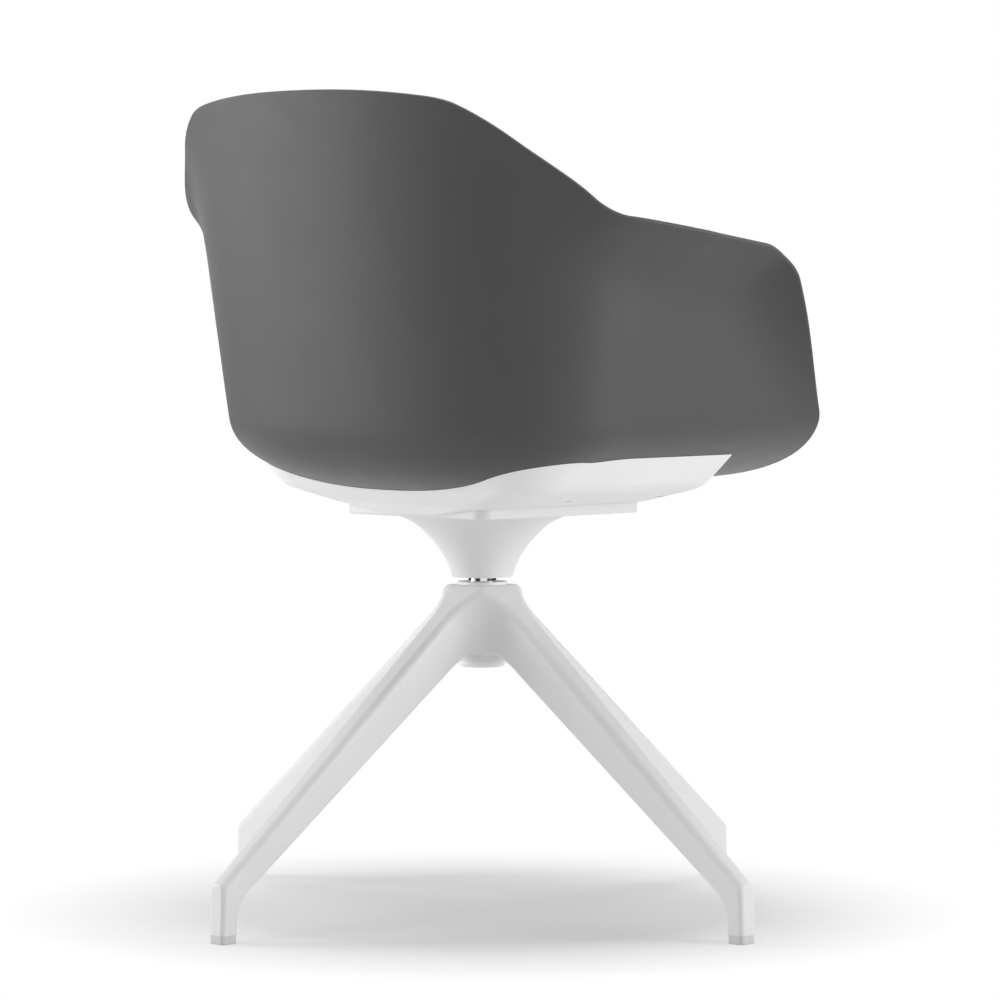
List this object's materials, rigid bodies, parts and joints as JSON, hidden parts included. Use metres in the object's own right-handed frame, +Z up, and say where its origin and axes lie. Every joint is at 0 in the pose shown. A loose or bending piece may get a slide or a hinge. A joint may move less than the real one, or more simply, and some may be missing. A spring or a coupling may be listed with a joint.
{
  "type": "visitor chair",
  "caption": "Swivel visitor chair with a moulded bucket shell that forms seat, back and arms, a trumpet-shaped swivel bracket and a cast pedestal base with straight legs on glides.",
  "frame": {"origin": "on the floor under the swivel axis, which is the middle of the base", "axes": "+Z up along the swivel axis; the seat faces -Y and the sitter's left is +X; the legs lie along X and Y"},
  "size_m": [0.718, 0.718, 0.8127],
  "materials": {
    "shell_plastic": "matte, fine moulded grain",
    "cover_plastic": "matt white moulded",
    "white_coat": "white powder coat on cast aluminium",
    "bright_steel": "turned and chromed",
    "bearing_steel": "ground",
    "fastener_steel": "zinc plated",
    "insert_brass": "turned",
    "bush_plastic": "natural bearing plastic",
    "cap_plastic": "white moulded",
    "glide_plastic": "light grey moulded"
  },
  "bodies": {
    "base": {"base_casting": "white_coat", "column_tube": "white_coat", "column_top_ring": "cap_plastic", "column_end_cap": "cap_plastic", "upper_guide_bush": "bush_plastic", "lower_guide_bush": "bush_plastic", "thrust_race_lower": "bearing_steel", "glide_front": "glide_plastic", "glide_rear": "glide_plastic", "glide_left": "glide_plastic", "glide_right": "glide_plastic"},
    "seat": {"seat_shell": "shell_plastic", "under_seat_cover": "cover_plastic", "cover_screws": "fastener_steel", "shell_inserts": "insert_brass", "spacer_sleeves": "fastener_steel", "bracket_screws": "fastener_steel", "bracket_washers": "fastener_steel", "swivel_bracket": "white_coat", "spindle": "bright_steel", "thrust_race_upper": "bearing_steel", "clip_washer": "fastener_steel", "retaining_clip": "fastener_steel"},
    "bearing_cage": {"ball_cage": "bush_plastic", "bearing_balls": "bearing_steel"}
  },
  "joints": [
    {"name": "seat_swivel", "type": "hinge", "parent": "base", "child": "seat", "pos_m": [0, 0, 0.3265], "axis": [0, 0, 1], "continuous": true},
    {"name": "bearing_cage_spin", "type": "hinge", "parent": "base", "child": "bearing_cage", "pos_m": [0, 0, 0.311], "axis": [0, 0, 1], "continuous": true}
  ],
  "couplings": [
    {"joint": "bearing_cage_spin", "follows": "seat_swivel", "ratio": 0.5}
  ]
}
